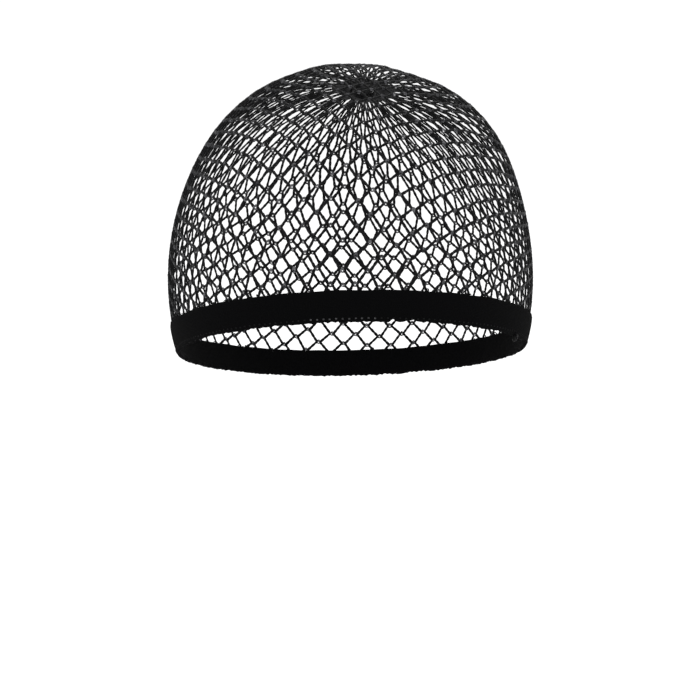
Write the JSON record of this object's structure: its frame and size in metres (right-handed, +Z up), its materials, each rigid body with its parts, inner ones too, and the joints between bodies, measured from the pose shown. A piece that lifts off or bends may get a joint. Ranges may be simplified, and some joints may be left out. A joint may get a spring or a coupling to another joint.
{
  "type": "hairnet",
  "caption": "Black fishnet cap of knotted diamond mesh on a knitted elastic band, in the form it takes on a head; holds the hair flat.",
  "frame": {"origin": "the middle of the head that fills the cap, level with the widest part of the head, where the cap sits", "axes": "+Z up through the crown, -Y out of the face, +X to the right of someone who looks at the face"},
  "size_m": [0.1527, 0.1945, 0.1474],
  "materials": {
    "net_cord": "matte",
    "knitted_elastic": "matte"
  },
  "bodies": {
    "root": {"net": "net_cord", "elastic_band": "knitted_elastic", "crown_tie": "net_cord"}
  },
  "joints": []
}
